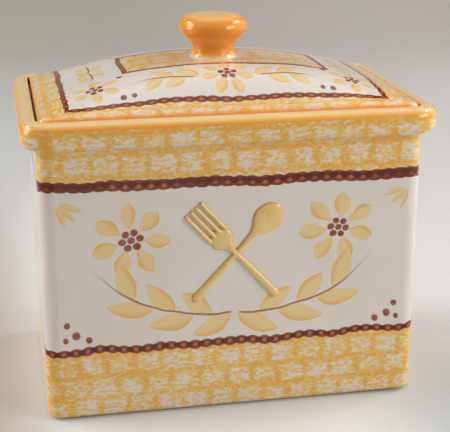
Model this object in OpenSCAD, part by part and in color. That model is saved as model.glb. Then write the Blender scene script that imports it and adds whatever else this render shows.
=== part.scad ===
// Ceramic recipe card box with a domed lid that lifts off.
// X is the width, minus Y the front, Z up from the surface it stands on.
// The lid is down and the cards lean back against the rear wall.

/* [Box] */
// Depth of the box over its walls
box_d = 107; // [100:0.5:140]
// Height of the rim's top above the surface
rim_top = 137; // [134:0.5:170]
// Thickness of the cast walls
wall = 4.8; // [4:0.1:6]
// Radius of the upright corners inside the box
inner_r = 1.8; // [1:0.1:6]
// Thickness of the floor over the foot ring
floor_t = 6; // [4:0.1:9]
// Radius of the rounded edge round the bottom
bottom_r = 2.4; // [1:0.1:2.8]
// How far the foot ring stands in from the walls
foot_in = 3.2; // [3:0.1:3.8]
// Height of the foot ring below the rounded edge
foot_lift = 0.8; // [0.4:0.1:1.5]
// Distance from the walls to the hollow inside the foot ring
foot_w = 10; // [7:0.5:20]
// Height of the hollow inside the foot ring
foot_hollow = 1.2; // [0.5:0.1:3]

/* [Rim] */
// How far the rim stands out past the wall
rim_over = 6.4; // [5:0.1:8]
// Thickness of the rim from its outside to the lid recess
rim_t = 7; // [5:0.1:9]
// Radius of the rim's lower, outer roll
roll_r = 4.6; // [3:0.1:5]
// Height from the middle of the roll to the rim's top
roll_drop = 7.5; // [5:0.1:10]
// Angle at which the roll runs into its sloping underside
roll_turn = 65; // [45:1:70]
// Radius of the hollow curve where the slope meets the wall
cove_r = 2; // [1:0.1:3]
// Radius of the rim's upper, outer edge
rim_edge_r = 4.2; // [2:0.1:5]
// Radius of the edge round the lid recess
recess_edge_r = 0.6; // [0.3:0.1:1.5]

/* [Lid] */
// Gap between the lid's edge and the rim, all round
lid_gap = 1; // [0.6:0.1:2.5]
// Thickness of the lid's edge
lid_edge_t = 4; // [3:0.1:6]
// How far the lid's edge lies below the rim's top
lid_sunk = 0.8; // [0:0.1:2]
// Radius of the lid's corners, seen from above
lid_corner_r = 5; // [3:0.1:10]
// Thickness of the domed shell
lid_wall = 4.8; // [3.5:0.1:6]
// Height of the rounded shoulder along the lid's edge
shoulder_h = 2.2; // [1:0.1:4]
// Height of the dome above the shoulder
dome_h = 14.7; // [6:0.1:25]
// Gap between the lid's locating ring and the walls
ring_gap = 1; // [0.5:0.1:2]
// How far the locating ring hangs into the box
ring_drop = 6; // [3:0.5:8]
// Thickness of the locating ring
ring_t = 4; // [3:0.1:6]
// Half width of the flat seat for the knob
pad_w = 15; // [13:0.5:25]
// Half depth of the flat seat for the knob
pad_d = 13; // [12.5:0.5:20]

/* [Knob] */
// Height of the knob above its seat
knob_h = 19.5; // [14:0.1:30]
// Radius of the knob's head
head_r = 15.8; // [12:0.1:20]
// Height of the head's widest line above the seat
head_mid = 13.6; // [10:0.1:16]
// Radius of the neck
neck_r = 9.5; // [6:0.1:11]
// Height of the neck's narrowest line above the seat
neck_mid = 2.4; // [2:0.1:7]
// Radius of the knob's foot
knob_foot_r = 10.6; // [9:0.1:12]

/* [Cards] */
// Width of a card, which the box is made to take
card_w = 152.4; // [125:0.1:200]
// Room at each end of the cards
card_end_gap = 4; // [2:0.1:8]
// Height of a card
card_h = 101.6; // [75:0.1:104]
// Thickness of a card
card_t = 0.4; // [0.2:0.05:0.6]
// Air between one card and the next
card_air = 0.3; // [0.15:0.05:0.4]
// Cards behind each divider
cards_each = 8; // [3:1:9]
// Thickness of a divider
divider_t = 0.5; // [0.3:0.05:0.8]
// Width of a divider's tab
tab_w = 44; // [30:1:50]
// Height of a divider's tab
tab_h = 11; // [6:0.5:12]
// Radius of a tab's upper corners
tab_r = 3; // [1:0.1:5]
// Angle at which the cards lean back
lean = 9; // [3:0.5:11]
// Angle through which the front cards tip forward
tip = 25; // [10:0.5:28]
// Air between the cards and the box, and between the sections
section_air = 0.3; // [0.2:0.05:0.6]

/* [Hidden] */
sections = 6;
$fn = 64;

// glaze and paper colours
WARM_WHITE = [0.93, 0.90, 0.84];
OCHRE = [0.93, 0.66, 0.28];
CARD_PAPER = [0.96, 0.94, 0.88];
TAB_BOARD = [0.84, 0.72, 0.52];

// the box: half sizes of the inside and outside of its walls
in_hx = card_w / 2 + card_end_gap;
in_hy = box_d / 2 - wall;
box_hx = in_hx + wall;
box_hy = in_hy + wall;
corner_r = wall + inner_r;
plate_bite = 0.5;
foot_corner_r = 4;

// the rim's section, as distances out from the wall and heights
recess_o = rim_over - rim_t;
ledge_z = rim_top - lid_sunk - lid_edge_t;
roll_z = rim_top - roll_drop;
roll_end = [rim_over - roll_r + roll_r * cos(roll_turn), roll_z - roll_r * sin(roll_turn)];
slope_len = (roll_end.x - cove_r * (1 - cos(roll_turn))) / sin(roll_turn);
cove_end = [roll_end.x - slope_len * sin(roll_turn), roll_end.y - slope_len * cos(roll_turn)];
cove_mid = [cove_r, cove_end.y - cove_r * sin(roll_turn)];

// the lid: half sizes of its edge and of its locating ring
lid_hx = box_hx + recess_o - lid_gap;
lid_hy = box_hy + recess_o - lid_gap;
edge_z = ledge_z + lid_edge_t;
ring_hx = in_hx - ring_gap;
ring_hy = in_hy - ring_gap;
ring_corner_r = 3;
pad_corner_r = 9;
pad_drop = 0.25;
pad_z = edge_z + shoulder_h + dome_h - pad_drop;
dome_px = 2.35;
dome_sx = 1.07;
dome_py = 5;
dome_sy = 1.85;
shoulder_t = 0.08;
dome_steps = [0, 0.01, 0.035, 0.08, 0.14, 0.21, 0.3, 0.42, 0.56, 0.72, 0.88];
under_steps = [0, 0.1, 0.22, 0.38, 0.58, 0.8];
crown_flat = 0.35;
neck_ease = 1.46;
corner_n = 4;
long_n = 12;
short_n = 6;

// the cards: six sections, each one a divider with its cards behind it
section_t = divider_t + cards_each * (card_t + card_air);
steepest = max(lean, tip - lean);
pitch = section_t / cos(steepest) + section_air;
pivot_z = floor_t + section_t / 2 * sin(steepest) + section_air;
rear_pivot_y = in_hy - section_air - card_h * sin(lean) - section_t / 2 * cos(lean);
tab_places = 3;
tab_inset = 2;

function arc_points(mid, r, from, to, n) =
    [for (i = [0:n]) let (a = from + (to - from) * i / n) [mid.x + r * cos(a), mid.y + r * sin(a)]];

// section of the wall with its rim: x is out from the wall's face, y is height
wall_section = concat(
    [[-wall, 0], [-foot_in, 0], [-foot_in, foot_lift]],
    arc_points([-bottom_r, foot_lift + bottom_r], bottom_r, -90, 0, 6),
    arc_points(cove_mid, cove_r, 180, 180 - roll_turn, 5),
    arc_points([rim_over - roll_r, roll_z], roll_r, -roll_turn, 0, 6),
    arc_points([rim_over - rim_edge_r, rim_top - rim_edge_r], rim_edge_r, 0, 90, 6),
    arc_points([recess_o + recess_edge_r, rim_top - recess_edge_r], recess_edge_r, 90, 180, 3),
    [[recess_o, ledge_z], [-wall, ledge_z]]);

// a section carried round a rounded rectangle
module carried_round(hx, hy, r) {
    for (side = [[hx, hy, 0], [hy, hx, 90], [hx, hy, 180], [hy, hx, 270]])
        rotate(side[2]) {
            translate([side[0], side[1] - r, 0])
                rotate([90, 0, 0])
                    linear_extrude(2 * (side[1] - r)) children();
            translate([side[0] - r, side[1] - r, 0])
                rotate_extrude(angle = 90) translate([r, 0]) children();
        }
}

module rounded_plate(hx, hy, r, z0, z1) {
    translate([0, 0, z0]) linear_extrude(z1 - z0) {
        square([2 * hx, 2 * (hy - r)], center = true);
        square([2 * (hx - r), 2 * hy], center = true);
        for (sx = [-1, 1], sy = [-1, 1])
            translate([sx * (hx - r), sy * (hy - r)]) circle(r);
    }
}

module box_body() {
    color(WARM_WHITE) {
        carried_round(box_hx, box_hy, corner_r) polygon(wall_section);
        difference() {
            rounded_plate(in_hx + plate_bite, in_hy + plate_bite, inner_r + plate_bite, 0, floor_t);
            rounded_plate(box_hx - foot_w, box_hy - foot_w, foot_corner_r, -1, foot_hollow);
        }
    }
}

// one ring of points round a rounded rectangle, counter-clockwise
function between(a, b, n) = [for (i = [1:n - 1]) a + (b - a) * i / n];
function ring_points(hx, hy, r) = let (
    c1 = arc_points([hx - r, hy - r], r, 0, 90, corner_n),
    c2 = arc_points([-hx + r, hy - r], r, 90, 180, corner_n),
    c3 = arc_points([-hx + r, -hy + r], r, 180, 270, corner_n),
    c4 = arc_points([hx - r, -hy + r], r, 270, 360, corner_n))
    concat(c1, between(c1[corner_n], c2[0], long_n), c2, between(c2[corner_n], c3[0], short_n),
           c3, between(c3[corner_n], c4[0], long_n), c4, between(c4[corner_n], c1[0], short_n));

// height of the dome above the lid's shoulder
function dome_z(p) =
    dome_h * pow(max(0, 1 - pow(abs(p.x) / lid_hx, dome_px)), dome_sx)
           * pow(max(0, 1 - pow(abs(p.y) / lid_hy, dome_py)), dome_sy);
function shoulder(t) = shoulder_h * sqrt(1 - pow(1 - min(1, t / shoulder_t), 2));
function mix(a, b, t) = a + (b - a) * t;

function top_ring(t) =
    [for (p = ring_points(mix(lid_hx, pad_w, t), mix(lid_hy, pad_d, t), mix(lid_corner_r, pad_corner_r, t)))
        [p.x, p.y, edge_z + shoulder(t) + dome_z(p)]];
function under_ring(t) =
    [for (p = ring_points(mix(ring_hx - ring_t, pad_w, t), mix(ring_hy - ring_t, pad_d, t),
                          mix(ring_corner_r, pad_corner_r, t)))
        [p.x, p.y, edge_z + shoulder_h + dome_z(p) - lid_wall]];
function flat_ring(hx, hy, r, z) = [for (p = ring_points(hx, hy, r)) [p.x, p.y, z]];

lid_rings = concat(
    [flat_ring(pad_w, pad_d, pad_corner_r, pad_z)],
    [for (i = [len(dome_steps) - 1:-1:0]) top_ring(dome_steps[i])],
    [flat_ring(lid_hx, lid_hy, lid_corner_r, ledge_z),
     flat_ring(ring_hx, ring_hy, ring_corner_r, ledge_z),
     flat_ring(ring_hx, ring_hy, ring_corner_r, ledge_z - ring_drop),
     flat_ring(ring_hx - ring_t, ring_hy - ring_t, ring_corner_r, ledge_z - ring_drop)],
    [for (t = under_steps) under_ring(t)],
    [flat_ring(pad_w, pad_d, pad_corner_r, pad_z - lid_wall)]);

module lid() {
    n = len(lid_rings[0]);
    m = len(lid_rings);
    color(WARM_WHITE) polyhedron(
        points = concat([for (ring = lid_rings) each ring], [[0, 0, pad_z], [0, 0, pad_z - lid_wall]]),
        faces = concat(
            [for (j = [0:n - 1]) [m * n, (j + 1) % n, j]],
            [for (i = [0:m - 2], j = [0:n - 1]) let (k = (j + 1) % n)
                each [[i * n + j, i * n + k, (i + 1) * n + k],
                      [i * n + j, (i + 1) * n + k, (i + 1) * n + j]]],
            [for (j = [0:n - 1]) [m * n + 1, (m - 1) * n + j, (m - 1) * n + (j + 1) % n]]));
}

// half outline of the turned knob, from its seat up to its crown
knob_outline = concat(
    [[0, 0]],
    [for (i = [0:5]) let (u = i / 5) [mix(knob_foot_r, neck_r, sin(90 * u)), neck_mid * u]],
    [for (i = [1:9]) let (u = i / 9)
        [mix(neck_r, head_r, pow((1 - cos(180 * u)) / 2, neck_ease)), mix(neck_mid, head_mid, u)]],
    [for (i = [1:9]) let (a = 10 * i)
        [head_r * pow(cos(a), crown_flat), head_mid + (knob_h - head_mid) * sin(a)]],
    [[0, knob_h]]);

module lid_knob() {
    color(OCHRE) translate([0, 0, pad_z]) rotate_extrude() polygon(knob_outline);
}

// stands what belongs to section k on its own lower edge, leaning back
module in_section(k) {
    translate([0, rear_pivot_y - (sections - k) * pitch, pivot_z])
        rotate([-lean, 0, 0]) translate([0, -section_t / 2, 0]) children();
}

module divider(k) {
    reach = card_w / 2 - tab_inset - tab_w / 2;
    tab_x = reach * ((k - 1) % tab_places - 1);
    color(TAB_BOARD) in_section(k)
        translate([0, divider_t, 0]) rotate([90, 0, 0]) linear_extrude(divider_t) {
            translate([-card_w / 2, 0]) square([card_w, card_h]);
            translate([tab_x - tab_w / 2, card_h - tab_r]) square([tab_w, tab_h]);
            translate([tab_x - tab_w / 2 + tab_r, card_h]) square([tab_w - 2 * tab_r, tab_h]);
            for (s = [-1, 1])
                translate([tab_x + s * (tab_w / 2 - tab_r), card_h + tab_h - tab_r]) circle(tab_r);
        }
}

module recipe_cards(k) {
    color(CARD_PAPER) in_section(k)
        for (i = [0:cards_each - 1])
            translate([-card_w / 2, divider_t + card_air + i * (card_t + card_air), 0])
                cube([card_w, card_t, card_h]);
}

box_body();
lid();
lid_knob();
divider(1);  // divider_1
divider(2);  // divider_2
divider(3);  // divider_3
divider(4);  // divider_4
divider(5);  // divider_5
divider(6);  // divider_6
recipe_cards(1);  // recipe_cards_1
recipe_cards(2);  // recipe_cards_2
recipe_cards(3);  // recipe_cards_3
recipe_cards(4);  // recipe_cards_4
recipe_cards(5);  // recipe_cards_5
recipe_cards(6);  // recipe_cards_6
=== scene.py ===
from math import atan2, cos, pi, radians, sin, sqrt

import bmesh
import bpy
from mathutils import Matrix, Vector


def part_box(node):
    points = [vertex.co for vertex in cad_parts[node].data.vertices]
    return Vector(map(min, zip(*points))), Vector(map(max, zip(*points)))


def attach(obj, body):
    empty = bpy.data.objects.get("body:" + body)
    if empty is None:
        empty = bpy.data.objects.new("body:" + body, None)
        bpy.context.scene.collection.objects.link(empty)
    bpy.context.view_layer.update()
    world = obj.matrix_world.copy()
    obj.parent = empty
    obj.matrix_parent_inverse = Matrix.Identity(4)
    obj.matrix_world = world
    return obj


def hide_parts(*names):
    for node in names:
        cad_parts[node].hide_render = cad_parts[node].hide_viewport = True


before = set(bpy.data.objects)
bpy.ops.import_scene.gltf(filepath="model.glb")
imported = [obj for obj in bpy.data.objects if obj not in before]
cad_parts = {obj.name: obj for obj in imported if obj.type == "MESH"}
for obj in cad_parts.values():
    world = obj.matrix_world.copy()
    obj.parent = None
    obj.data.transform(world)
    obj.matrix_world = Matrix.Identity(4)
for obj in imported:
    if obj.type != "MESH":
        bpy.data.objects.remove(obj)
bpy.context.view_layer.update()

MM = 0.001
# points closer than this, in millimetres, are joined
WELD = 0.002


# Sizes, in millimetres
def span(node):
    """Lowest and highest corner of a CAD node, in millimetres."""
    low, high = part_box(node)
    return low / MM, high / MM


box_high = span("box_body")[1]
lid_low, lid_high = span("lid")
knob_low, knob_high = span("lid_knob")

# how far the rim stands out past the walls, and how thick the walls are
rim_over = 6.4
wall = 4.8
inner_corner = 1.8
corner = wall + inner_corner
# the rounded bottom edge, and the foot ring: its outer edge, height, inner edge and the hollow inside
bottom_round = 2.4
foot_in = 3.2
foot_lift = 0.8
foot_inner = 10.0
foot_hollow = 1.2
# half sizes over the walls and inside them
wall_x = box_high.x - rim_over
wall_y = box_high.y - rim_over
inside_x = wall_x - wall
inside_y = wall_y - wall
# heights
rim_top = box_high.z
floor_z = 6.0
lid_edge_t = 4.0
lid_sunk = 0.8
ledge_z = rim_top - lid_sunk - lid_edge_t
edge_z = ledge_z + lid_edge_t
seat_z = knob_low.z
# half of each straight run of the walls, and a quarter of the way round them
straight_x = wall_x - corner
straight_y = wall_y - corner
quarter_round = straight_x + corner * pi / 2 + straight_y

# the painted bands on the walls, as heights
lower_rope_z = 33.0
upper_rope_z = 108.5
panel_mid = 70.5
rim_paint_z = 133.9
# the painted bands on the lid, as half sizes of rectangles seen from above
border_x, border_y = 71.2, 45.0
middle_x, middle_y = 43.5, 18.5
# how far from the middle of the knob no sponge was pressed
knob_clear = 14.2
# the spacing of the ruled lines on the cards
card_line = 6.35


# Mesh helpers
def arc(x, z, r, start, end, steps):
    """Points of an arc in a section, from one angle to another."""
    turn = [radians(start + (end - start) * i / steps) for i in range(steps + 1)]
    return [(x + r * cos(a), z + r * sin(a)) for a in turn]


def mix(a, b, t):
    return a + (b - a) * t


def verts_of(geometry):
    return [g for g in geometry if isinstance(g, bmesh.types.BMVert)]


def edges_of(geometry):
    return [g for g in geometry if isinstance(g, bmesh.types.BMEdge)]


def carry_round(bm, section, half_x, half_y, r):
    """Carries a section of (out, height) points round a rounded rectangle and closes it."""
    points = [bm.verts.new((r - half_x, -half_y - out, height)) for out, height in section]
    row = points + [bm.edges.new(pair) for pair in zip(points, points[1:])]
    for turn in range(4):
        ahead, aside = (half_x, half_y) if turn % 2 == 0 else (half_y, half_x)
        facing = Matrix.Rotation(turn * pi / 2, 3, "Z")
        run, short = 2 * (ahead - r), 0.6
        for length, steps in ((short, 1), (run - 2 * short, 8), (short, 1)):
            row = bmesh.ops.spin(
                bm, geom=row, cent=(0, 0, 0), axis=(0, 0, 1), angle=0, steps=steps,
                dvec=facing @ Vector((length / steps, 0, 0)))["geom_last"]
        row = bmesh.ops.spin(
            bm, geom=row, cent=facing @ Vector((ahead - r, r - aside, 0)), axis=(0, 0, 1),
            angle=pi / 2, steps=8, dvec=(0, 0, 0))["geom_last"]
    bmesh.ops.remove_doubles(bm, verts=bm.verts, dist=WELD)


def grow_ring(bm, ring, half_x, half_y, height):
    """Extrudes a closed ring of edges and scales the new one to these half sizes."""
    made = bmesh.ops.extrude_edge_only(bm, edges=ring)["geom"]
    points = verts_of(made)
    widest, deepest = max(v.co.x for v in points), max(v.co.y for v in points)
    bmesh.ops.scale(bm, vec=(half_x / widest, half_y / deepest, 1), verts=points)
    for v in points:
        v.co.z = height(v.co) if callable(height) else height
    fresh = set(points)
    return [e for e in edges_of(made) if e.verts[0] in fresh and e.verts[1] in fresh]


def piece(name, bm, materials, body, nodes=(), crease=38):
    """Makes a finished piece of a mesh in millimetres and lets it ride on a body."""
    bmesh.ops.scale(bm, vec=(MM, MM, MM), verts=bm.verts)
    for face in bm.faces:
        face.smooth = True
    for edge in bm.edges:
        edge.smooth = edge.calc_face_angle(0) < radians(crease)
    mesh = bpy.data.meshes.new(name)
    bm.to_mesh(mesh)
    bm.free()
    for material in materials:
        mesh.materials.append(material)
    made = bpy.data.objects.new(name, mesh)
    bpy.context.scene.collection.objects.link(made)
    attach(made, body)
    if nodes:
        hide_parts(*nodes)
    return made


# Paint helpers
def tint(red, green, blue):
    """A colour chart value from 0 to 255, as the light it reflects."""
    return tuple((c / 255 / 12.92 if c <= 10 else ((c / 255 + 0.055) / 1.055) ** 2.4)
                 for c in (red, green, blue)) + (1.0,)


class Tone:
    """A number that changes over a surface, worked out by nodes."""

    def __init__(self, socket):
        self.socket = socket
        self.nodes = socket.id_data.nodes

    def step(self, operation, *others, clamp=False):
        node = self.nodes.new("ShaderNodeMath")
        node.operation, node.use_clamp = operation, clamp
        for slot, value in zip(node.inputs, (self,) + others):
            put(slot, value)
        return Tone(node.outputs[0])

    def __add__(self, other):
        return self.step("ADD", other)

    def __radd__(self, other):
        return self.step("ADD", other)

    def __sub__(self, other):
        return self.step("SUBTRACT", other)

    def __rsub__(self, other):
        return (self * -1.0).step("ADD", other)

    def __mul__(self, other):
        return self.step("MULTIPLY", other)

    def __rmul__(self, other):
        return self.step("MULTIPLY", other)

    def __truediv__(self, other):
        return self.step("DIVIDE", other)

    def __abs__(self):
        return self.step("ABSOLUTE")

    def power(self, other):
        return self.step("POWER", other)

    def least(self, other):
        return self.step("MINIMUM", other)

    def most(self, other):
        return self.step("MAXIMUM", other)

    def over(self, other):
        return self.step("GREATER_THAN", other)

    def clamped(self):
        return self.step("ADD", 0.0, clamp=True)

    def rise(self, start, end):
        """0 below start, 1 above end, smooth between."""
        node = self.nodes.new("ShaderNodeMapRange")
        node.interpolation_type = "SMOOTHSTEP"
        for slot, value in zip(node.inputs, (self, start, end, 0.0, 1.0)):
            put(slot, value)
        return Tone(node.outputs[0])

    def near(self, half_width, soft):
        """1 where the number is closer to zero than half_width."""
        return 1.0 - abs(self).rise(half_width - soft, half_width + soft)

    def blend(self, other, share):
        return self + (other - self) * share


def put(slot, value):
    if isinstance(value, Tone):
        value = value.socket
    if isinstance(value, bpy.types.NodeSocket):
        slot.id_data.links.new(value, slot)
    else:
        slot.default_value = value


def place(x, y, z):
    """A point made of three numbers."""
    node = next(t for t in (x, y, z) if isinstance(t, Tone)).nodes.new("ShaderNodeCombineXYZ")
    for slot, value in zip(node.inputs, (x, y, z)):
        put(slot, value)
    return node.outputs[0]


def parts(vector):
    """The three numbers of a point."""
    node = vector.id_data.nodes.new("ShaderNodeSeparateXYZ")
    put(node.inputs[0], vector)
    return [Tone(s) for s in node.outputs]


def cloud(vector, size, detail=2.0, rough=0.5, shift=0.0):
    """Cloudy variation about 0.5, with patches of this size; size may be given per direction."""
    nodes = vector.id_data.nodes
    scaled = nodes.new("ShaderNodeMapping")
    sizes = size if isinstance(size, tuple) else (size,) * 3
    put(scaled.inputs["Vector"], vector)
    scaled.inputs["Scale"].default_value = [1 / s for s in sizes]
    scaled.inputs["Location"].default_value = (shift, shift * 1.7, shift * 0.6)
    node = nodes.new("ShaderNodeTexNoise")
    put(node.inputs["Vector"], scaled.outputs[0])
    node.inputs["Scale"].default_value = 1.0
    node.inputs["Detail"].default_value = detail
    node.inputs["Roughness"].default_value = rough
    return Tone(node.outputs[0])


def coat(under, colour, share):
    """Lays a colour over another by share."""
    node = (share if isinstance(share, Tone) else Tone(under)).nodes.new("ShaderNodeMix")
    node.data_type = "RGBA"
    put(node.inputs[0], share)
    put(node.inputs[6], under)
    put(node.inputs[7], colour)
    return node.outputs[2]


class Wash:
    """Painted strokes: how much paint lies there, and how far it has run to the stroke's edge."""

    def __init__(self, cover, heat):
        self.cover, self.heat = cover, heat

    def with_also(self, other):
        return Wash(self.cover.most(other.cover), self.heat.blend(other.heat, other.cover))


def stroke(along, across, length, half_width, bend=0.0, belly=0.75):
    """One pull of a round brush from (0, 0), swelling and running out to a point."""
    soft = 0.3
    share = (along / length).clamped()
    middle = across - share * (1.0 - share) * (4.0 * bend)
    width = (share.power(belly) * pi).step("SINE").most(0.0).power(0.8) * half_width
    inside = (width - abs(middle)).rise(-soft * 0.5, soft)
    inside = inside * along.rise(0.0, soft) * (length - along).rise(0.0, soft)
    side = (middle / width.most(0.2)).rise(0.15, 1.0)
    return Wash(inside, side)


def line(along, across, start, end, half_width):
    """A thin line of a liner brush that fades at its far end."""
    reach = along.rise(start, start + 1.5) * (1.0 - along.rise(mix(start, end, 0.55), end))
    return across.near(half_width, 0.22) * reach


def turned(x, y, angle):
    """The same point, seen from axes turned by this angle in degrees."""
    c, s = cos(radians(angle)), sin(radians(angle))
    return x * c + y * s, y * c - x * s


def daisy(x, y, radius, petals, turn=0.0):
    """Petals round a small open middle."""
    far = (x * x + y * y).step("SQRT")
    angle = y.step("ARCTAN2", x) + radians(turn)
    folded = angle.step("WRAP", pi / petals, -pi / petals)
    along, across = far * folded.step("COSINE"), far * folded.step("SINE")
    gap = radius * 0.27
    return stroke(along - gap, across, radius - gap, radius * 0.21, belly=1.25)


def dots_round(x, y, ring, count, size, turn=0.0):
    """A ring of round dots, and one in the middle."""
    far = (x * x + y * y).step("SQRT")
    angle = y.step("ARCTAN2", x) + radians(turn)
    folded = angle.step("WRAP", pi / count, -pi / count)
    along, across = far * folded.step("COSINE") - ring, far * folded.step("SINE")
    off = (along * along + across * across).step("SQRT").least(far)
    return 1.0 - off.rise(size * 0.72, size * 1.08)


def dot(x, y, size):
    """One round dot at (0, 0)."""
    return 1.0 - (x * x + y * y).step("SQRT").rise(size * 0.72, size * 1.08)


def garland(x, y, mid_x, mid_y, radius, start, end, pitch, leaf, fat, lean=33.0):
    """A thin stem along an arc below (mid_x, mid_y), with leaves to both sides.
    start and end are distances along the stem. Gives the leaves and the stem."""
    dx, dy = x - mid_x, mid_y - y
    off = (dx * dx + dy * dy).step("SQRT") - radius
    along = dx.step("ARCTAN2", dy) * radius
    stem = line(along, off, start, end, 0.42)
    shifted = along + off.over(0.0) * (pitch * 0.5)
    cell = (shifted / pitch).step("FLOOR")
    local = shifted - cell * pitch
    reach = cell.over((start - pitch * 0.4) / pitch) * (1.0 - cell.over((end - leaf * 0.9) / pitch))
    a, b = turned(local - 0.6, abs(off), lean)
    leaves = stroke(a, b, leaf, fat, bend=0.5, belly=0.85)
    return Wash(leaves.cover * reach, leaves.heat), stem


def rope(along, across, period, half_height, scallop, smear, drop=0.0):
    """A painted rope of beads: how much paint lies there, its dark necks and its light eyes."""
    beat = abs((along * (pi / period)).step("SINE"))
    edge = beat.power(0.8) * scallop + (half_height - scallop)
    cover = (edge + smear - abs(across)).rise(-0.2, 0.25)
    dark = ((beat * -0.42 + 0.68) * half_height + smear - abs(across - drop)).rise(-0.35, 0.35)
    eye = ((beat.power(3.0) * 1.3 - 0.5) * half_height * 0.5 - abs(across + drop)).rise(-0.35, 0.4)
    return cover, dark, eye


def sponge(spot, across, up):
    """Sponge-stamped wash: how much of it lies there, and how dark it is."""
    width, height = quarter_round / 11, 10.2
    row = (up / height).step("FLOOR")
    col = across / width + row * 0.37
    wander = cloud(spot, 5.0, 2.0, 0.5, 3.0) - 0.5
    in_row, in_col = up / height - row + wander * 0.25, col.step("FRACT") + wander * 0.3
    edge = abs(in_col - 0.5).most(abs(in_row - 0.5)) * 2.0
    border = edge.rise(0.55, 1.0)
    cells = place(across, up, 0.0)
    streak = cloud(cells, (3.1, 1.35, 1.0), 2.2, 0.55, 7.0)
    flecks = cloud(cells, (1.9, 1.2, 1.0), 2.0, 0.6, 23.0)
    patch = cloud(spot, 17.0, 1.0, 0.5, 11.0) - 0.5
    cover = (streak + border * 0.16 + patch * 0.22).rise(0.44, 0.56)
    heat = (flecks + border * 0.13 + patch * 0.3).rise(0.5, 0.68)
    return cover, heat


# Glazes
GLAZE_WHITE = tint(225, 217, 211)
WASH_YELLOW = tint(234, 193, 94)
WASH_ORANGE = tint(230, 158, 44)
LEAF_YELLOW = tint(231, 200, 136)
LEAF_OCHRE = tint(230, 176, 88)
RIM_TAN = tint(236, 202, 148)
RIM_OCHRE = tint(240, 184, 90)
RIM_DEEP = tint(248, 152, 36)
# painted shade for the slot round the lid, on the box's recess wall and the lid's edge face
SLOT_SHADE_BROWN = tint(128, 70, 32)
ROPE_BROWN = tint(84, 12, 2)
ROPE_MID = tint(138, 54, 14)
ROPE_LIGHT = tint(184, 114, 70)
DOT_BROWN = tint(142, 56, 24)
STEM_BROWN = tint(150, 58, 18)
BISQUE = tint(226, 212, 186)


def new_material(name):
    material = bpy.data.materials.new(name)
    material.use_nodes = True
    tree = material.node_tree
    shader = tree.nodes["Principled BSDF"]
    coordinates = tree.nodes.new("ShaderNodeTexCoord").outputs["Object"]
    spot = tree.nodes.new("ShaderNodeVectorMath")
    spot.operation = "SCALE"
    put(spot.inputs[0], coordinates)
    spot.inputs["Scale"].default_value = 1 / MM
    return material, shader, spot.outputs[0]


def glaze_over(shader, spot, colour):
    """A glossy, slightly uneven glaze over the painted colour."""
    tree = shader.id_data
    waves = cloud(spot, 14.0, 1.0, 0.5, 41.0) + cloud(spot, 3.0, 1.0, 0.5, 5.0) * 0.12
    bump = tree.nodes.new("ShaderNodeBump")
    bump.inputs["Strength"].default_value = 0.35
    bump.inputs["Distance"].default_value = 0.0006
    put(bump.inputs["Height"], waves)
    put(shader.inputs["Base Color"], colour)
    put(shader.inputs["Normal"], bump.outputs[0])
    put(shader.inputs["Roughness"], cloud(spot, 6.0, 2.0) * 0.08 + 0.08)
    shader.inputs["Specular IOR Level"].default_value = 0.4
    shader.inputs["Coat Weight"].default_value = 0.15
    shader.inputs["Coat Roughness"].default_value = 0.04


def white_ground(spot):
    """The cream glaze with its faint cloudiness and a few dark specks."""
    tone = coat(GLAZE_WHITE, tint(222, 213, 202), cloud(spot, 30.0, 3.0).rise(0.35, 0.75))
    cells = spot.id_data.nodes.new("ShaderNodeTexVoronoi")
    cells.inputs["Scale"].default_value = 1 / 13
    put(cells.inputs["Vector"], spot)
    speck = 1.0 - Tone(cells.outputs["Distance"]).rise(0.018, 0.034)
    return coat(tone, tint(120, 98, 80), speck * cloud(spot, 3.0, 1.0, 0.5, 60.0).rise(0.45, 0.6) * 0.7)


def lay_wash(ground, wash, streaks):
    """Yellow brush paint that has run darker along one edge."""
    ground = coat(ground, LEAF_YELLOW, wash.cover * (streaks * 0.3 + 0.75).clamped())
    return coat(ground, LEAF_OCHRE, wash.cover * (wash.heat * 0.9).clamped())


def lay_rope(ground, cover, dark, eye, streaks):
    """Brown paint of the beads, darker in their necks and lighter in their eyes."""
    ground = coat(ground, ROPE_MID, cover * (streaks * 0.2 + 0.9).clamped())
    ground = coat(ground, ROPE_BROWN, cover * dark * (streaks * 0.3 + 0.72).clamped())
    return coat(ground, ROPE_LIGHT, cover * eye * 0.8)


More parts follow.
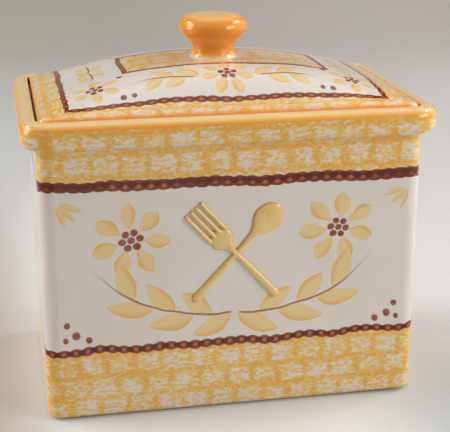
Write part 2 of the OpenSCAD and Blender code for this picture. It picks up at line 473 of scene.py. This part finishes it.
def painted_box():
    material, shader, spot = new_material("painted_cream_glaze")
    tree = shader.id_data
    chart = tree.nodes.new("ShaderNodeUVMap")
    chart.uv_map = "wrap"
    round_wall, height, _ = parts(chart.outputs[0])
    sway_u, sway_v = cloud(spot, 24.0, 1.0, 0.5, 1.0) - 0.5, cloud(spot, 24.0, 1.0, 0.5, 9.0) - 0.5
    shiver = cloud(spot, 2.4, 2.0, 0.5, 15.0) - 0.5
    u, v = round_wall + sway_u * 5.0 + shiver * 0.5, height + sway_v * 5.0 + shiver * 0.5
    streaks = cloud(spot, (5.0, 5.0, 2.2), 2.0, 0.6, 31.0)

    # the front and back have one design, the two ends another
    half = 2 * quarter_round
    front_u = u.step("WRAP", half / 2, -half / 2)
    end_u = (u - quarter_round).step("WRAP", half / 2, -half / 2)
    y = v - panel_mid
    x = abs(front_u)
    flower_x, flower_y = x - 46.0, y - 13.0
    flowers = daisy(flower_x, flower_y, 17.5, 7, 20)
    leaves, stem = garland(x, y, 10.0, 43.5, 68.0, -9.0, 66.0, 18.0, 19.5, 4.2, 28.0)
    front = flowers.with_also(leaves)
    dots = dots_round(flower_x, flower_y, 3.6, 6, 1.75, 10)
    fan_a, fan_b = x - 77.5, y - 31.0
    for angle in (200, 228, 256):
        a, b = turned(fan_a, fan_b, angle)
        front = front.with_also(stroke(a - 2.0, b, 10.0, 1.5))
    for a, b, size in ((70.5, 30.0, 2.0), (65.0, 32.5, 1.7), (74.0, 25.0, 1.7), (75.5, 31.5, 1.5)):
        dots = dots.most(dot(x - a, y + b, size))

    end = daisy(end_u, y, 15.5, 8, 0)
    end_leaves, end_stem = garland(abs(end_u), abs(y) * -1.0, 0.0, 26.0, 52.0, 4.0, 40.0, 13.0, 11.5, 2.3)
    end = end.with_also(end_leaves)
    end_dots = dots_round(end_u, y, 3.4, 6, 1.6)
    on_end = end_u.near(46.0, 0.5)

    wash = Wash(front.cover.blend(end.cover, on_end), front.heat.blend(end.heat, on_end))
    stems, spots = stem.blend(end_stem, on_end), dots.blend(end_dots, on_end)
    colour = lay_wash(white_ground(spot), wash, streaks)
    colour = coat(colour, STEM_BROWN, stems * 0.85)
    colour = coat(colour, DOT_BROWN, spots * (streaks * 0.5 + 0.7).clamped())

    # sponge bands under the rim and along the bottom
    cover, heat = sponge(spot, round_wall, height)
    in_band = (height + sway_v * 4.0 - upper_rope_z + 1.0).rise(-0.4, 0.4).most(
        (lower_rope_z - 1.0 - height - sway_v * 4.0).rise(-0.4, 0.4))
    colour = coat(colour, WASH_YELLOW, in_band * (cover * 0.8 + 0.1))
    colour = coat(colour, WASH_ORANGE, in_band * heat * (cover * 0.6 + 0.3) * 0.75)

    # the two ropes
    press = cloud(spot, 28.0, 1.0, 0.5, 17.0).rise(0.35, 0.6)
    low = rope(round_wall, height - lower_rope_z + sway_v * 6.0, half / 51, 2.0, 0.8, shiver * 0.3)
    colour = lay_rope(colour, *low, streaks)
    sink = (round_wall * (pi / half)).step("SINE") * 0.75 + 0.65
    off_rope = height + sink - upper_rope_z + sway_v * 3.0
    cover, dark, eye = rope(round_wall + 1.0, off_rope, half / 49, 2.5, 0.55, shiver * 0.7, 0.5)
    colour = lay_rope(colour, cover, dark.blend(1.0, (1.0 - press) * 0.6), eye * press, streaks)

    # the rim, and painted shade: a brown line where the lid sits, darkening the slot round it
    rim = (height + shiver * 0.8 - rim_paint_z).rise(-0.4, 0.5)
    drift = cloud(spot, (16.0, 16.0, 3.0), 2.0, 0.5, 51.0)
    ochre = coat(RIM_OCHRE, RIM_DEEP, (rim_top - height + drift * 2.0 - 1.0).rise(1.2, 3.2))
    # the flat top is painted paler tan, partly the glaze's own tone and partly a painted sheen standing in
    # for the light reflected off the top
    ochre = coat(RIM_TAN, ochre, (rim_top - height + drift * 1.2 - 0.6).rise(0.1, 1.6))
    colour = coat(colour, ochre, rim)
    px, py, _ = parts(spot)
    inwards = (wall_x - abs(px)).least(wall_y - abs(py))
    slot_shade = inwards.rise(0.2, 0.5) * height.over(ledge_z - 0.3)
    slot_shade = slot_shade * (1.0 - height.rise(rim_top - 1.8, rim_top - 0.7))
    colour = coat(colour, SLOT_SHADE_BROWN, slot_shade)
    glaze_over(shader, spot, colour)
    return material


def white_inside():
    material, shader, spot = new_material("cream_glaze_inside")
    glaze_over(shader, spot, white_ground(spot))
    return material


def bare_clay():
    material, shader, spot = new_material("bare_clay_foot")
    grain = cloud(spot, 0.9, 3.0, 0.7)
    put(shader.inputs["Base Color"], coat(BISQUE, tint(206, 188, 158), grain.rise(0.35, 0.7)))
    shader.inputs["Roughness"].default_value = 0.85
    bump = shader.id_data.nodes.new("ShaderNodeBump")
    bump.inputs["Distance"].default_value = 0.0002
    bump.inputs["Strength"].default_value = 0.5
    put(bump.inputs["Height"], grain)
    put(shader.inputs["Normal"], bump.outputs[0])
    return material


def painted_lid():
    material, shader, spot = new_material("painted_lid_glaze")
    px, py, pz = parts(spot)
    sway_x, sway_y = cloud(spot, 24.0, 1.0, 0.5, 2.0) - 0.5, cloud(spot, 24.0, 1.0, 0.5, 8.0) - 0.5
    shiver = cloud(spot, 2.2, 2.0, 0.5, 15.0) - 0.5
    wx, wy = px + sway_x * 3.0 + shiver * 0.5, py + sway_y * 3.0 + shiver * 0.5
    x, y = abs(wx), abs(wy)
    streaks = cloud(spot, (4.0, 2.0, 4.0), 2.0, 0.6, 31.0)

    # front and back of the band, then its two ends
    mid_y, mid_x = (border_y + middle_y) / 2, (border_x + middle_x) / 2
    wash = daisy(x, y - mid_y, 12.0, 7, 90)
    leaves, stem = garland(x, y - mid_y, 28.0, 52.0, 52.0, -14.0, 15.0, 10.5, 12.0, 2.9)
    wash = wash.with_also(leaves)
    wash = wash.with_also(daisy(x - mid_x, y - mid_y, 11.0, 6, 30))
    ends, end_stem = garland(y, x - mid_x, 8.0, 40.0, 40.0, -8.0, 13.0, 9.5, 10.0, 2.5)
    wash = wash.with_also(ends)
    dots = dots_round(x, y - mid_y, 3.0, 5, 1.55, 18).most(dots_round(x - mid_x, y - mid_y, 2.7, 5, 1.35))
    for a, b, size in ((46.5, 41.0, 1.5), (46.5, 23.5, 1.5), (42.0, 40.5, 1.3)):
        dots = dots.most(dot(x - a, y - b, size))
    colour = lay_wash(white_ground(spot), wash, streaks)
    colour = coat(colour, STEM_BROWN, stem.most(end_stem) * 0.85)
    colour = coat(colour, DOT_BROWN, dots * (streaks * 0.5 + 0.7).clamped())

    # sponge along the edge and round the knob
    # (neither rectangle sits quite square on the lid)
    out_x, out_y = abs(wx + 1.4) - border_x + 1.4, y - border_y
    in_x, in_y = abs(wx - 2.5) - middle_x - 2.5, abs(wy + px * 0.03 + 1.2) - middle_y
    outer, inner = out_x.most(out_y), in_x.most(in_y)
    on_end = out_x.over(out_y)
    slope_x, slope_y = abs(px) - pz, abs(py) - pz
    cover, heat = sponge(spot, px.blend(py, on_end), slope_y.blend(slope_x, on_end))
    bare_ring = ((px * px + py * py).step("SQRT") + shiver * 1.5).rise(knob_clear - 1.0, knob_clear + 1.0)
    in_band = outer.rise(-0.3, 0.5).most((inner * -1.0).rise(-0.5, 0.3) * bare_ring)
    colour = coat(colour, WASH_YELLOW, in_band * (cover * 0.8 + 0.08))
    colour = coat(colour, WASH_ORANGE, in_band * heat * (cover * 0.6 + 0.3) * 0.8)

    # the ropes run round both rectangles
    for rect, side_x, side_y in ((outer, out_x, out_y), (inner, in_x, in_y)):
        along = px.blend(py, side_x.over(side_y))
        cover, dark, eye = rope(along, rect, 5.4, 1.35, 0.5, shiver * 0.3)
        colour = lay_rope(colour, cover, dark * 0.55, eye, streaks)

    # ochre along the lid's edge
    edge = (lid_high.x - abs(px)).least(lid_high.y - abs(py))
    arris = 1.0 - (edge + shiver * 0.8).rise(0.5, 1.8)
    colour = coat(colour, RIM_DEEP, arris * 0.75)
    # painted shade: the lid's edge face goes brown below its top, darkening the slot round the lid
    colour = coat(colour, SLOT_SHADE_BROWN, 1.0 - pz.rise(edge_z - 1.3, edge_z - 0.3))
    under = 1.0 - pz.rise(ledge_z - 0.3, ledge_z + 0.4)
    colour = coat(colour, white_ground(spot), under)
    glaze_over(shader, spot, colour)
    return material


def ochre_knob():
    material, shader, spot = new_material("ochre_knob_glaze")
    px, py, pz = parts(spot)
    up = pz - seat_z
    drift = cloud(spot, (9.0, 9.0, 3.0), 2.0, 0.5, 12.0)
    colour = coat(tint(242, 160, 58), tint(242, 144, 36), drift.rise(0.35, 0.7))
    band = up.rise(8.0, 11.5) * (1.0 - up.rise(12.5, 16.0))
    colour = coat(colour, tint(226, 134, 30), band * 0.7)
    colour = coat(colour, tint(222, 142, 44), up.rise(2.5, 5.0) * (1.0 - up.rise(6.0, 9.0)) * 0.7)
    # painted highlight: the top of the crown is painted paler, standing in for the light from above
    colour = coat(colour, tint(252, 200, 122), up.rise(17.4, 19.2) * 0.8)
    colour = coat(colour, tint(240, 206, 140), 1.0 - (up + drift * 1.6).rise(1.2, 3.6))
    colour = coat(colour, GLAZE_WHITE, 1.0 - (up + drift * 1.2).rise(0.5, 1.3))
    glaze_over(shader, spot, colour)
    return material


def relief_glaze():
    """Thin ochre wash that has run off the raised parts into their edges."""
    material, shader, spot = new_material("relief_wash_glaze")
    raised = (parts(spot)[1] + wall_y) * -1.0
    drift = cloud(spot, 3.0, 2.0, 0.5, 4.0)
    top = (raised + drift * 0.35).rise(0.35, 1.0)
    colour = coat(WASH_ORANGE, tint(232, 200, 132), top)
    colour = coat(colour, RIM_DEEP, drift.rise(0.6, 0.75) * 0.6)
    glaze_over(shader, spot, colour)
    return material


# The box
def distance_round(x, y):
    """Distance round the walls from the middle of the front, for 0 <= x."""
    turn = atan2(max(x - straight_x, 0), max(abs(y) - straight_y, 0))
    run = min(x, straight_x) + corner * turn + straight_y - min(abs(y), straight_y)
    return run if y <= 0 else 2 * quarter_round - run


def unwrap_walls(bm):
    chart = bm.loops.layers.uv.new("wrap")
    for face in bm.faces:
        side = 1 if face.calc_center_median().x > 0 else -1
        for loop in face.loops:
            x, y, z = loop.vert.co
            loop[chart].uv = (side * distance_round(max(side * x, 0), y), z)


def make_box():
    # the rim: its flat top, its rolled outside and the hollow curve that leads up to it
    rim_width, recess_round = 7.0, 0.6
    recess = rim_over - rim_width
    roll, roll_drop, roll_turn, cove, edge_round = 4.6, 7.5, 65, 2.0, 4.2
    roll_z = rim_top - roll_drop
    end_o = rim_over - roll + roll * cos(radians(roll_turn))
    end_z = roll_z - roll * sin(radians(roll_turn))
    slope = (end_o - cove * (1 - cos(radians(roll_turn)))) / sin(radians(roll_turn))
    cove_z = end_z - slope * cos(radians(roll_turn)) - cove * sin(radians(roll_turn))
    # the carried section reaches in no further than the rounding of the corners
    foot_join = corner - 0.7
    section = (
        [(-foot_join, 0), (-foot_in - 0.3, 0), (-foot_in, 0.3), (-foot_in, foot_lift)]
        + arc(-bottom_round, foot_lift + bottom_round, bottom_round, -90, 0, 8)
        + [(0, foot_lift + bottom_round + 0.6), (0, cove_z - 0.6)]
        + arc(cove, cove_z, cove, 180, 180 - roll_turn, 6)
        + arc(rim_over - roll, roll_z, roll, -roll_turn, 0, 8)
        + arc(rim_over - edge_round, rim_top - edge_round, edge_round, 0, 90, 8)
        + arc(recess + recess_round, rim_top - recess_round, recess_round, 90, 180, 5)
        + [(recess, ledge_z + 0.5)] + arc(recess - 0.5, ledge_z + 0.5, 0.5, 0, -90, 3)
        + arc(-wall + 0.7, ledge_z - 0.7, 0.7, 90, 180, 4)
        + [(-wall, ledge_z - 1.4), (-wall, floor_z + 1.8)]
        + arc(-wall - 1.2, floor_z + 1.2, 1.2, 0, -90, 5)
    )
    bm = bmesh.new()
    carry_round(bm, section, wall_x, wall_y, corner)
    rings = [e for e in bm.edges if e.is_boundary]
    inside = [e for e in rings if e.verts[0].co.z > 3]
    foot = [e for e in rings if e.verts[0].co.z < 3]
    for inset, height in ((foot_inner, 0.0), (foot_inner + 0.6, foot_hollow)):
        foot = grow_ring(bm, foot, wall_x - inset, wall_y - inset, height)
    bmesh.ops.edgeloop_fill(bm, edges=inside)
    bmesh.ops.edgeloop_fill(bm, edges=foot)
    bmesh.ops.recalc_face_normals(bm, faces=bm.faces)
    unwrap_walls(bm)
    for face in bm.faces:
        middle, normal = face.calc_center_median(), face.normal
        if middle.z < 0.75 or middle.z < 1.5 and normal.z < -0.9:
            face.material_index = 2
        elif 1.5 < middle.z < ledge_z + 0.3:
            faces_inwards = normal.x * middle.x + normal.y * middle.y < 0
            if faces_inwards or normal.z > 0.9:
                face.material_index = 1
    glazes = (painted_box(), white_inside(), bare_clay())
    piece("box_glazed", bm, glazes, "box", ["box_body"])


# The lid and its knob
dome_h, shoulder_h, shoulder_share = 14.7, 2.2, 0.08
pad_x, pad_y = 15.0, 13.0
seat_x, seat_y = 8.0, 7.0
lid_corner = 5.0
lid_wall = 4.8
ring_gap, ring_t = 1.0, 4.0


def dome(co):
    """Height of the crown over a point: an even curve along X, a flatter one with steep sides along Y."""
    rise_x = max(0, 1 - (abs(co.x) / lid_high.x) ** 2.35) ** 1.07
    rise_y = max(0, 1 - (abs(co.y) / lid_high.y) ** 5) ** 1.85
    return dome_h * rise_x * rise_y


def make_lid():
    ring_x, ring_y = inside_x - ring_gap, inside_y - ring_gap
    bm = bmesh.new()
    bmesh.ops.create_grid(bm, x_segments=1, y_segments=1, size=1)
    bmesh.ops.scale(bm, vec=(lid_high.x, lid_high.y, 1), verts=bm.verts)
    bmesh.ops.bevel(bm, geom=bm.verts[:], offset=lid_corner, offset_type="OFFSET", segments=8, profile=0.5,
                    affect="VERTICES", material=-1)
    bmesh.ops.translate(bm, vec=(0, 0, edge_z), verts=bm.verts)
    long = [e for e in bm.edges if e.calc_length() > 100]
    short = [e for e in bm.edges if 40 < e.calc_length() < 100]
    bmesh.ops.bisect_edges(bm, edges=long, cuts=47)
    bmesh.ops.bisect_edges(bm, edges=short, cuts=27)
    bmesh.ops.delete(bm, geom=bm.faces[:], context="FACES_ONLY")
    outline = bm.edges[:]
    ring = outline
    for t in (0.0015, 0.006, 0.013, 0.024, 0.038, 0.057, 0.08, 0.11, 0.145, 0.185, 0.23, 0.28,
              0.335, 0.395, 0.46, 0.53, 0.61, 0.7, 0.8, 0.9, 1.0):
        lift = edge_z + shoulder_h * sqrt(1 - (1 - min(1, t / shoulder_share)) ** 2)
        ring = grow_ring(bm, ring, mix(lid_high.x, pad_x, t), mix(lid_high.y, pad_y, t),
                         lambda co: lift + dome(co))
    bmesh.ops.edgeloop_fill(bm, edges=grow_ring(bm, ring, seat_x, seat_y, seat_z))
    # the edge that rests on the ledge, then the locating ring under it
    ring = outline
    for inset, height in ((0.0, edge_z - 0.5), (0.0, ledge_z + 0.8), (0.25, ledge_z + 0.25), (0.8, ledge_z)):
        ring = grow_ring(bm, ring, lid_high.x - inset, lid_high.y - inset, height)
    foot_z = lid_low.z
    for inset, height in ((-0.5, ledge_z), (0.0, ledge_z - 0.5), (0.0, foot_z + 1.0), (0.3, foot_z + 0.3),
                          (1.0, foot_z), (ring_t - 0.8, foot_z), (ring_t, foot_z + 0.8)):
        ring = grow_ring(bm, ring, ring_x - inset, ring_y - inset, height)
    for t in (0.0, 0.03, 0.08, 0.15, 0.24, 0.35, 0.5, 0.7, 1.0):
        ring = grow_ring(bm, ring, mix(ring_x - ring_t, pad_x, t), mix(ring_y - ring_t, pad_y, t),
                         lambda co: edge_z + shoulder_h + dome(co) - lid_wall)
    bmesh.ops.edgeloop_fill(bm, edges=ring)
    bmesh.ops.recalc_face_normals(bm, faces=bm.faces)
    made = piece("lid_glazed", bm, (painted_lid(),), "lid", ["lid"])
    rounding = made.modifiers.new("finer", "SUBSURF")
    rounding.levels = rounding.render_levels = 1


def make_knob():
    """A turned knob: a foot and a waist, a swelling neck, and a flat crown."""
    head, head_mid, neck, neck_mid, foot = 15.8, 13.6, 9.5, 2.4, 10.6
    neck_power, crown_power = 1.46, 0.35
    top = knob_high.z - knob_low.z
    outline = [(foot + 0.9, -0.5), (foot + 0.5, 0.0), (foot + 0.2, 0.2), (foot, 0.5)]
    for i in range(1, 9):
        outline.append((mix(foot, neck, sin(pi / 2 * i / 8)), mix(0.5, neck_mid, i / 8)))
    for i in range(1, 17):
        swell = ((1 - cos(pi * i / 16)) / 2) ** neck_power
        outline.append((mix(neck, head, swell), mix(neck_mid, head_mid, i / 16)))
    for i in range(1, 25):
        a = pi / 2 * i / 24
        outline.append((head * max(cos(a), 0) ** crown_power, head_mid + (top - head_mid) * sin(a)))
    bm = bmesh.new()
    points = [bm.verts.new((r, 0, seat_z + z)) for r, z in outline[:-1]]
    points.append(bm.verts.new((0, 0, knob_high.z)))
    edges = [bm.edges.new(pair) for pair in zip(points, points[1:])]
    bmesh.ops.spin(bm, geom=points + edges, cent=(0, 0, 0), axis=(0, 0, 1), angle=2 * pi, steps=72,
                   use_merge=True, dvec=(0, 0, 0))
    bmesh.ops.remove_doubles(bm, verts=bm.verts, dist=WELD)
    bmesh.ops.edgeloop_fill(bm, edges=[e for e in bm.edges if e.is_boundary])
    bmesh.ops.recalc_face_normals(bm, faces=bm.faces)
    piece("knob_glazed", bm, (ochre_knob(),), "lid", ["lid_knob"], crease=60)


# The raised spoon and fork on the front
def pull(bm, stations):
    """A rounded bar along Z, from stations of (height, half width, half thickness)."""
    made = bmesh.ops.create_circle(bm, segments=20, radius=1, cap_ends=False)["verts"]
    bmesh.ops.translate(bm, verts=made, vec=(0, 0, stations[0][0]))
    ring = list({e for v in made for e in v.link_edges})
    first = ring
    bmesh.ops.scale(bm, verts=made, vec=(stations[0][1], stations[0][2], 1))
    everything = list(made)
    for height, half_width, half_thick in stations[1:]:
        out = bmesh.ops.extrude_edge_only(bm, edges=ring)["geom"]
        points = verts_of(out)
        wide, thick = max(v.co.x for v in points), max(v.co.y for v in points)
        bmesh.ops.scale(bm, verts=points, vec=(half_width / wide, half_thick / thick, 1))
        for v in points:
            v.co.z = height
        fresh = set(points)
        ring = [e for e in edges_of(out) if e.verts[0] in fresh and e.verts[1] in fresh]
        everything += points
    bmesh.ops.edgeloop_fill(bm, edges=first)
    bmesh.ops.edgeloop_fill(bm, edges=ring)
    return everything


def rounded(bottom, top, widths, thick):
    """Stations from bottom to top with rounded ends, through (share, half width) marks."""
    stations = []
    for i in range(33):
        share = i / 32
        for (s0, w0), (s1, w1) in zip(widths, widths[1:]):
            if s0 <= share <= s1:
                u = (share - s0) / (s1 - s0)
                width = mix(w0, w1, (1 - cos(pi * u)) / 2)
        end = min(share, 1 - share) * (top - bottom)
        closing = sqrt(max(0.0, 1 - (1 - min(1, (end + 0.02) / width)) ** 2))
        stations.append((mix(bottom, top, share), max(0.12, width * closing), max(0.1, thick * closing)))
    return stations


def make_relief():
    half_length, tine_root, lean = 29, 11, 42
    bm = bmesh.new()
    bowl = ((0, 2.3), (0.12, 1.9), (0.55, 1.3), (0.68, 1.7), (0.85, 6.4), (1, 5.0))
    spoon = pull(bm, rounded(-half_length, half_length, bowl, 1.35))
    bmesh.ops.rotate(bm, verts=spoon, cent=(0, 0, 0), matrix=Matrix.Rotation(radians(lean), 3, "Y"))
    shaft = ((0, 2.3), (0.16, 1.9), (0.72, 1.3), (0.86, 5.4), (1, 5.4))
    fork = pull(bm, rounded(-half_length, tine_root + 4, shaft, 1.55))
    for offset in (-4.4, -1.5, 1.5, 4.4):
        tine = pull(bm, rounded(tine_root, half_length, ((0, 1.05), (1, 0.9)), 1.4))
        bmesh.ops.translate(bm, verts=tine, vec=(offset, 0, 0))
        fork += tine
    bmesh.ops.rotate(bm, verts=fork, cent=(0, 0, 0), matrix=Matrix.Rotation(radians(-lean), 3, "Y"))
    bmesh.ops.translate(bm, verts=bm.verts, vec=(0, -wall_y, panel_mid + 4))
    bmesh.ops.recalc_face_normals(bm, faces=bm.faces)
    piece("spoon_and_fork_relief", bm, (relief_glaze(),), "box", crease=60)


make_box()
make_lid()
make_knob()
make_relief()


# Cards and dividers
def card_paper():
    """Cream card with faint ruled lines."""
    material, shader, spot = new_material("card_paper_fibres")
    grain = cloud(spot, 0.6, 3.0, 0.7)
    colour = coat(tint(244, 238, 222), tint(230, 220, 198), grain.rise(0.4, 0.7))
    _, _, height = parts(spot)
    off_line = abs((height / card_line).step("FRACT") - 0.5)
    colour = coat(colour, tint(150, 172, 190), (1.0 - off_line.rise(0.02, 0.05)) * 0.7)
    put(shader.inputs["Base Color"], colour)
    shader.inputs["Roughness"].default_value = 0.8
    return material


def tab_board(name, colour):
    material, shader, spot = new_material(name)
    grain = cloud(spot, (0.8, 0.8, 2.0), 3.0, 0.7)
    deeper = tuple(c * 0.82 for c in colour[:3]) + (1.0,)
    put(shader.inputs["Base Color"], coat(colour, deeper, grain.rise(0.4, 0.75)))
    shader.inputs["Roughness"].default_value = 0.75
    return material


paper = card_paper()
boards = [tab_board("tab_board_" + name, colour) for name, colour in
          (("straw", tint(228, 190, 116)), ("terracotta", tint(196, 120, 84)), ("oat", tint(214, 190, 150)))]
for number in range(1, 7):
    board = boards[(number - 1) % 3]
    for node, finish in (("recipe_cards_%d" % number, paper), ("divider_%d" % number, board)):
        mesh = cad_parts[node].data
        mesh.materials.clear()
        mesh.materials.append(finish)


# Floor, backdrop, lights and camera
def make_sweep():
    """A pale floor that curves up into the backdrop, in metres."""
    front, bend, top, half_width = -2.2, 0.9, 3.0, 2.6
    profile = [(front, 0.0), (bend, 0.0)] + arc(bend, bend, bend, -90, 0, 16) + [(2 * bend, top)]
    bm = bmesh.new()
    points = [bm.verts.new((-half_width, y, z)) for y, z in profile]
    edges = [bm.edges.new(pair) for pair in zip(points, points[1:])]
    bmesh.ops.spin(bm, geom=points + edges, cent=(0, 0, 0), axis=(0, 0, 1), angle=0, steps=1,
                   dvec=(2 * half_width, 0, 0))
    bmesh.ops.remove_doubles(bm, verts=bm.verts, dist=1e-5)
    bmesh.ops.recalc_face_normals(bm, faces=bm.faces)
    for face in bm.faces:
        face.smooth = True
    mesh = bpy.data.meshes.new("sweep")
    bm.to_mesh(mesh)
    bm.free()
    material, shader, spot = new_material("sweep_paper")
    x, y, z = parts(spot)
    # painted shade: the backdrop is darker and warmer high up, standing in for the lamps' light falling off
    # with height
    shade = (z / 1000.0).rise(0.0, 0.9)
    # the paper is painted with light and shade, in millimetres from the box: darker to the left, where the
    # box's shadow falls, a different tone to the right, darker towards the back, where the lamps' light
    # falls off, and warmer where it turns up
    ground = coat(tint(228, 229, 229), tint(191, 184, 177), (x * -1.0).rise(70.0, 115.0))
    right_side = coat(tint(193, 195, 195), tint(211, 209, 211), y.rise(-40.0, 60.0))
    ground = coat(ground, right_side, x.rise(40.0, 110.0))
    distant = coat(tint(197, 197, 197), tint(217, 213, 211), x.rise(0.0, 520.0))
    ground = coat(ground, distant, y.rise(60.0, 420.0))
    turning_up = coat(tint(204, 200, 191), tint(225, 219, 216), x.rise(0.0, 520.0))
    ground = coat(ground, turning_up, y.rise(500.0, 1100.0))
    hanging = coat(tint(183, 174, 157), tint(181, 177, 170), x.rise(0.0, 400.0))
    put(shader.inputs["Base Color"], coat(ground, hanging, shade))
    shader.inputs["Roughness"].default_value = 0.9
    shader.inputs["Specular IOR Level"].default_value = 0.1
    mesh.materials.append(material)
    made = bpy.data.objects.new("sweep", mesh)
    bpy.context.scene.collection.objects.link(made)


LAMP_WHITE = (1.0, 0.98, 0.95)


def softbox(name, direction, distance, width, height, power):
    """A rectangular lamp that looks at the middle of the box from this direction."""
    lamp = bpy.data.lights.new(name, "AREA")
    lamp.shape, lamp.size, lamp.size_y = "RECTANGLE", width, height
    lamp.energy, lamp.color = power, LAMP_WHITE
    made = bpy.data.objects.new(name, lamp)
    bpy.context.scene.collection.objects.link(made)
    aim = Vector((0, 0, 0.09))
    made.location = aim + Vector(direction).normalized() * distance
    made.rotation_euler = (made.location - aim).to_track_quat("Z", "Y").to_euler()


make_sweep()
softbox("left_softbox", (-0.90, 0.30, 0.60), 1.1, 0.65, 0.5, 2.8)
softbox("right_softbox", (0.75, 0.10, 0.66), 1.1, 0.65, 0.5, 1.4)
softbox("left_window", (-0.675, 0.40, 0.60), 1.0, 0.20, 0.12, 1.1)
softbox("right_window", (0.75, 0.10, 0.66), 1.0, 0.44, 0.16, 2.4)
softbox("left_panel", (-1.0, 0.1, 0.28), 1.2, 0.5, 0.9, 7.2)
softbox("right_panel", (1.0, 0.25, 0.28), 1.3, 1.0, 0.9, 2.2)
softbox("top_softbox", (0.0, 0.1, 1.0), 1.4, 1.8, 1.5, 6.2)
softbox("front_softbox", (1.0, -0.75, 0.45), 0.9, 0.5, 0.4, 4.1)

world = bpy.data.worlds.new("studio")
world.use_nodes = True
sky = world.node_tree.nodes["Background"]
sky.inputs["Color"].default_value = (1.0, 0.99, 0.97, 1)
seen = world.node_tree.nodes.new("ShaderNodeLightPath").outputs
direct = Tone(seen["Is Camera Ray"]) + Tone(seen["Is Glossy Ray"]) + Tone(seen["Is Transmission Ray"])
lit_share, seen_share = 0.19, 0.43
put(sky.inputs["Strength"], direct.clamped() * (seen_share - lit_share) + lit_share)
bpy.context.scene.world = world

azimuth, elevation = radians(-11.14), radians(17.89)
aside, above, away = 5.45, 71.19, 585.77
back = Vector((sin(azimuth) * cos(elevation), -cos(azimuth) * cos(elevation), sin(elevation)))
right = Vector((cos(azimuth), sin(azimuth), 0))
up = back.cross(right)
eye = (right * aside + up * above + back * away) * MM
camera_data = bpy.data.cameras.new("camera")
camera_data.sensor_width, camera_data.lens = 36.0, 93.14
camera = bpy.data.objects.new("camera", camera_data)
bpy.context.scene.collection.objects.link(camera)
camera.matrix_world = Matrix.Translation(eye) @ Matrix((right, up, back)).transposed().to_4x4()
bpy.context.scene.camera = camera
bpy.context.scene.view_settings.view_transform = "Standard"
